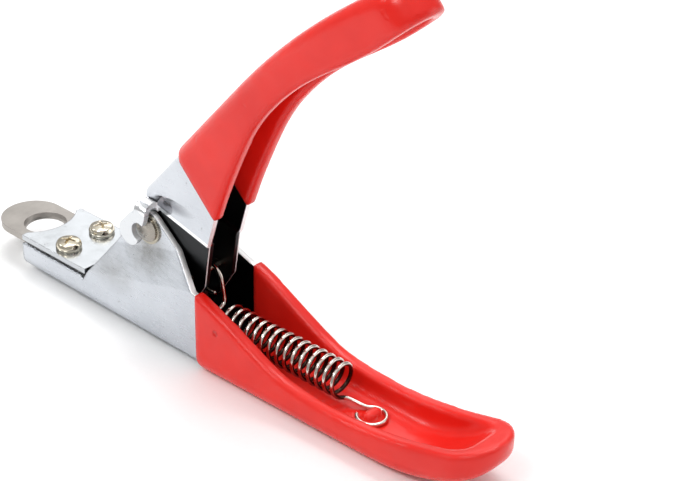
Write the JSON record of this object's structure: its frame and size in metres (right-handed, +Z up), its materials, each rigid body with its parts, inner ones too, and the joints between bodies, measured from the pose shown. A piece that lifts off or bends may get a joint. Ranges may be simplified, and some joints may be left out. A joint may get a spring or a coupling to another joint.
{
  "type": "guillotine nail clipper",
  "caption": "Pet nail clipper of pressed steel with a fixed cutting ring, a sliding guillotine blade, a spring-opened lever and dipped vinyl grips.",
  "frame": {"origin": "middle of the whole clipper's box in X and Y, on the surface it stands on", "axes": "+X from the cutting ring along the fixed handle to its end, +Y along the pivot, +Z up"},
  "size_m": [0.14, 0.0194, 0.0937],
  "materials": {
    "chrome": "bright nickel-chrome plate",
    "ring_steel": "matt hardened steel",
    "blade_steel": "ground steel",
    "red_vinyl": "glossy dipped vinyl",
    "nickel": "bright nickel plate",
    "brass": "polished",
    "spring_steel": "bright drawn wire"
  },
  "bodies": {
    "frame": {"main_frame": "chrome", "main_grip": "red_vinyl", "cover_plate": "chrome", "ring_blade": "ring_steel", "blade_guide": "blade_steel", "head_screw_near": "nickel", "head_screw_far": "nickel", "pivot_rivet": "nickel", "pivot_washer_near": "brass", "pivot_washer_far": "brass", "return_spring": "spring_steel"},
    "lever": {"lever_frame": "chrome", "lever_grip": "red_vinyl", "blade_drive_pin": "nickel", "spring_anchor_pin": "nickel"},
    "blade": {"blade_carrier": "blade_steel", "cutting_blade": "blade_steel"}
  },
  "joints": [
    {"name": "lever_pivot", "type": "hinge", "parent": "frame", "child": "lever", "pos_m": [-0.0173, 0, 0.0251], "axis": [0, 1, 0], "range_deg": [0, 34], "stiffness_Nm_per_rad": 0.1, "springref_deg": -28.65, "deforming": ["return_spring"]},
    {"name": "blade_slide", "type": "slide", "parent": "frame", "child": "blade", "axis": [-1, 0, 0], "range_m": [0, 0.01023]}
  ],
  "couplings": [
    {"joint": "blade_slide", "follows": "lever_pivot", "m_per_rad": 0.017244}
  ]
}
